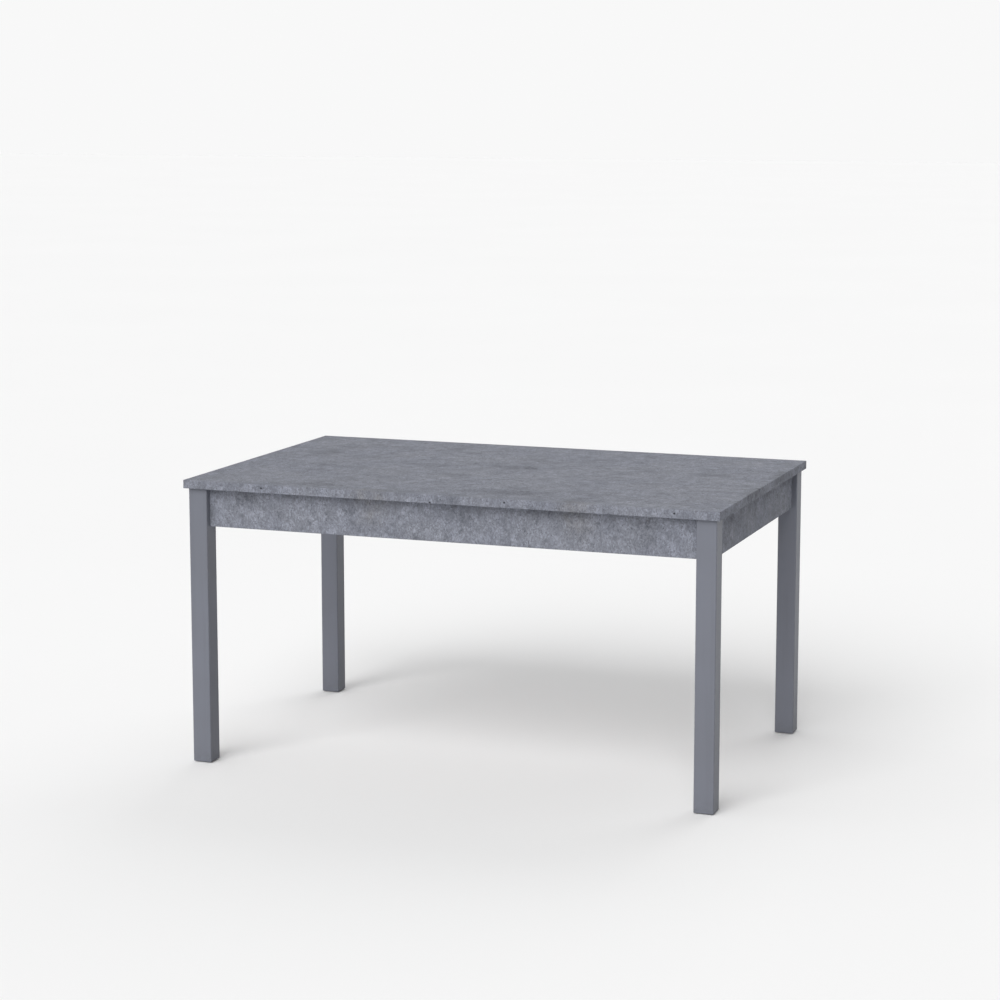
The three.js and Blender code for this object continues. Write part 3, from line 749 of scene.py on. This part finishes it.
def add_corner_screws(side, end):
    """Two screws through each flange of a corner bracket, with their heads inside the frame."""
    low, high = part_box(f"corner_bracket_{side}_{end}")
    x_sign, y_sign = ENDS[end], SIDES[side]
    inner_x, outer_x = sorted((low.x, high.x), key=abs)
    inner_y, outer_y = sorted((low.y, high.y), key=abs)
    level = (low.z + high.z) / 2
    for number, share in enumerate(FLANGE_HOLE_SHARES, 1):
        along = (1.0 - share) * FLANGE
        turn = 0.7 * number + 0.4 * x_sign + 0.9 * y_sign
        seat = (inner_x + x_sign * along, outer_y - y_sign * STEEL, level)
        add_screw(f"corner_screw_{side}_{end}_{number}", seat, (0, -y_sign, 0), turn)
        seat = (outer_x - x_sign * STEEL, inner_y + y_sign * along, level)
        add_screw(f"corner_screw_{side}_{end}_{number + 2}", seat, (-x_sign, 0, 0), turn + 0.5)


def add_rail_screws(side, end):
    """Two screws up through a rail bracket's foot and one through its drop."""
    low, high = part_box(f"rail_bracket_{side}_{end}")
    sign = ENDS[end]
    outer = high.x if sign > 0 else low.x
    middle = (low.y + high.y) / 2
    for number, share in enumerate(RAIL_FOOT_HOLE_SHARES, 1):
        seat = (outer - sign * share * RAIL_FOOT, middle, high.z - STEEL)
        add_screw(f"rail_screw_{side}_{end}_{number}", seat, (0, 0, -1), 0.8 * number + sign)
    seat = (outer - sign * STEEL, middle, high.z - RAIL_DROP_HOLE_SHARE * RAIL_DROP)
    add_screw(f"rail_screw_{side}_{end}_3", seat, (-sign, 0, 0), 0.3 + sign)


def add_bearer_angle(side, end):
    """A bent steel angle that hangs an end of a cross bearer on the side apron, and its screws."""
    low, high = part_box(f"cross_bearer_{end}")
    sign = SIDES[side]
    apron = high.y if sign > 0 else low.y
    middle = (low.x + high.x) / 2
    corner = Vector((middle, apron, low.z))
    bm = bmesh.new()
    outline = [
        (0, 0),
        (-BEARER_ANGLE, 0),
        (-BEARER_ANGLE, -STEEL),
        (-STEEL, -STEEL),
        (-STEEL, -BEARER_ANGLE),
        (0, -BEARER_ANGLE),
    ]
    rows = []
    for across in (-BEARER_ANGLE_WIDTH / 2, BEARER_ANGLE_WIDTH / 2):
        rows.append([bm.verts.new(corner + Vector((across, sign * out, up))) for out, up in outline])
    first, last = rows
    bm.faces.new(first)
    bm.faces.new(reversed(last))
    for index in range(len(outline)):
        following = (index + 1) % len(outline)
        bm.faces.new((first[index], last[index], last[following], first[following]))
    ease(bm, STEEL_ARRIS)
    name = f"bearer_angle_{side}_{end}"
    add_piece(name, mesh_of(name, bm), "zinc", "frame")
    reach = BEARER_HOLE_SHARE * BEARER_ANGLE
    for number, across in enumerate((-BEARER_ANGLE_WIDTH / 4, BEARER_ANGLE_WIDTH / 4), 1):
        up_seat = corner + Vector((across, -sign * reach, -STEEL))
        side_seat = corner + Vector((across, -sign * STEEL, -reach))
        add_screw(f"bearer_screw_{side}_{end}_{number}", up_seat, (0, 0, -1), 0.5 * number)
        add_screw(f"bearer_screw_{side}_{end}_{number + 2}", side_seat, (0, -sign, 0), 0.9 * number)


def add_fixings():
    for side, end in CORNERS:
        add_corner_screws(side, end)
        add_rail_screws(side, end)
        add_bearer_angle(side, end)


# ---------------------------------------------------------------------------------------------
# Camera, light and floor
# ---------------------------------------------------------------------------------------------

# The camera: its place, its turn about the vertical, its tilt down, its lens and sensor in
# millimetres, its shift as a share of the sensor, and how far it sees.
CAMERA_PLACE = (2.246, -6.080, 1.753)
CAMERA_TURN = math.radians(20.34)
CAMERA_PITCH = math.radians(8.24)
CAMERA_LENS = 87.94
CAMERA_SENSOR = 36.0
CAMERA_SHIFT = -0.05
CAMERA_SIGHT = 200.0

# Half the floor's width.
FLOOR_REACH = 60.0

# The white studio's brightness, and how it changes along each axis of a direction: from where to
# where, and to what share.
STUDIO_LEVEL = 0.94
STUDIO_FADES = [
    ("X", -0.05, 0.35, 0.30),
    ("Y", 0.20, -0.90, 1.18),
    ("Z", 0.20, 1.00, 0.60),
]

# The lamps: where the light comes from, its strength, and how many degrees wide it is. They are
# suns, so their distance changes nothing in the light.
LAMP_DISTANCE = 5.0
LAMPS = {
    "key": ((-0.06, -0.76, 0.65), 1.9, 45),
    "fill": ((0.15, 0.78, 0.60), 0.7, 45),
}


def add_camera():
    data = bpy.data.cameras.new("camera")
    data.lens = CAMERA_LENS
    data.sensor_width = CAMERA_SENSOR
    data.shift_y = CAMERA_SHIFT
    data.clip_end = CAMERA_SIGHT
    camera = bpy.data.objects.new("camera", data)
    camera.location = CAMERA_PLACE
    camera.rotation_euler = Euler((math.pi / 2 - CAMERA_PITCH, 0, CAMERA_TURN))
    bpy.context.scene.collection.objects.link(camera)
    bpy.context.scene.camera = camera


def add_lamp(name, source, strength, spread):
    """A very large soft light that shines from a direction."""
    data = bpy.data.lights.new(name, "SUN")
    data.energy = strength
    data.angle = math.radians(spread)
    lamp = bpy.data.objects.new(name, data)
    lamp.location = Vector(source) * LAMP_DISTANCE
    lamp.rotation_euler = Vector(source).to_track_quat("Z", "Y").to_euler()
    bpy.context.scene.collection.objects.link(lamp)


def light_studio():
    """A white studio, dimmer overhead and on the right and brighter in front, with a key light and
    a fill from behind."""
    world = bpy.data.worlds.new("studio")
    world.use_nodes = True
    nodes = world.node_tree.nodes
    links = world.node_tree.links
    direction = nodes.new("ShaderNodeTexCoord")
    axes = nodes.new("ShaderNodeSeparateXYZ")
    links.new(direction.outputs["Generated"], axes.inputs["Vector"])
    level = nodes.new("ShaderNodeValue").outputs[0]
    level.default_value = STUDIO_LEVEL
    for axis, start, end, share in STUDIO_FADES:
        fade = nodes.new("ShaderNodeMapRange")
        fade.inputs["From Min"].default_value = start
        fade.inputs["From Max"].default_value = end
        fade.inputs["To Min"].default_value = 1.0
        fade.inputs["To Max"].default_value = share
        links.new(axes.outputs[axis], fade.inputs["Value"])
        product = nodes.new("ShaderNodeMath")
        product.operation = "MULTIPLY"
        links.new(level, product.inputs[0])
        links.new(fade.outputs["Result"], product.inputs[1])
        level = product.outputs[0]
    links.new(level, nodes["Background"].inputs["Strength"])
    nodes["Background"].inputs["Color"].default_value = (1.0, 1.0, 1.0, 1.0)
    bpy.context.scene.world = world
    for name, (source, strength, spread) in LAMPS.items():
        add_lamp(name, source, strength, spread)
    bpy.context.scene.view_settings.view_transform = "Standard"


def add_floor():
    """A wide pale sheet of matt studio paper."""
    s = Shader("studio_paper")
    colour = s.spread(s.steps(s.noise(0.5, 2.0), 0.3, 0.7, 0.878, 0.884))
    material = s.finish(colour, 0.9, s.noise(200.0, 2.0), 0.01 * MM, Specular_IOR_Level=0.1)
    bm = bmesh.new()
    reach = FLOOR_REACH
    corners = [(-reach, -reach, 0), (reach, -reach, 0), (reach, reach, 0), (-reach, reach, 0)]
    bm.faces.new([bm.verts.new(corner) for corner in corners])
    mesh = mesh_of("floor", bm)
    mesh.materials.append(material)
    floor = bpy.data.objects.new("floor", mesh)
    bpy.context.scene.collection.objects.link(floor)


dress_frame()
add_boards()
add_bolts_and_dowels()
add_fixings()
add_camera()
light_studio()
add_floor()
